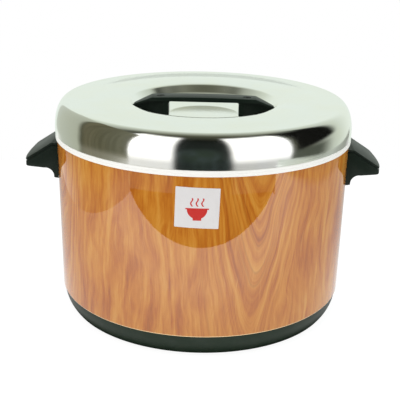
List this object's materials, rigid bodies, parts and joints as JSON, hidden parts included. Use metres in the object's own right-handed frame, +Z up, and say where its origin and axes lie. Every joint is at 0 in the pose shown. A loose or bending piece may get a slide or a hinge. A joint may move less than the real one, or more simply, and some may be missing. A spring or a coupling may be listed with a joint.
{
  "type": "rice warmer",
  "caption": "Round insulated rice container with a wood-grain shell, carrying handles and a polished foam-filled lid that lifts off by a sunken handle.",
  "frame": {"origin": "middle of the plane that the four rubber feet stand on, on the pot's upright axis", "axes": "+Z up along the pot's axis, the way the lid lifts; +X to the right carrying handle; -Y to the front, where the label is"},
  "size_m": [0.4592, 0.3802, 0.2778],
  "materials": {
    "wood_laminate": "steel sheet with a satin wood-grain film",
    "white_plastic": "moulded, glossy",
    "black_plastic": "moulded, fine satin",
    "polished_steel": "stainless sheet, polished",
    "liner_steel": "stainless sheet, satin",
    "zinc_steel": "zinc plated",
    "foam": "rigid foam",
    "rubber": "moulded, matt",
    "silicone": "moulded, translucent grey",
    "black_screws": "blackened",
    "sticker": "coated paper"
  },
  "bodies": {
    "pot": {"outer_shell": "wood_laminate", "rim_ring": "white_plastic", "inner_liner": "liner_steel", "body_insulation": "foam", "bottom_plate": "zinc_steel", "base_pan": "black_plastic", "foot_screws": "zinc_steel", "side_handle_right": "black_plastic", "side_handle_left": "black_plastic", "handle_plate_right": "zinc_steel", "handle_plate_left": "zinc_steel", "handle_screws_right": "zinc_steel", "handle_screws_left": "zinc_steel", "front_label": "sticker", "rubber_foot_1": "rubber", "rubber_foot_2": "rubber", "rubber_foot_3": "rubber", "rubber_foot_4": "rubber"},
    "lid": {"lid_cover": "polished_steel", "lid_rim_ring": "white_plastic", "lid_gasket": "silicone", "lid_inner_pan": "liner_steel", "lid_insulation": "foam", "lid_handle": "black_plastic", "lid_handle_screws": "black_screws", "lid_handle_strip": "zinc_steel", "lid_handle_nuts": "zinc_steel"}
  },
  "joints": [
    {"name": "lid_lift", "type": "slide", "parent": "pot", "child": "lid", "axis": [0, 0, 1], "range_m": [0, 0.3]}
  ]
}
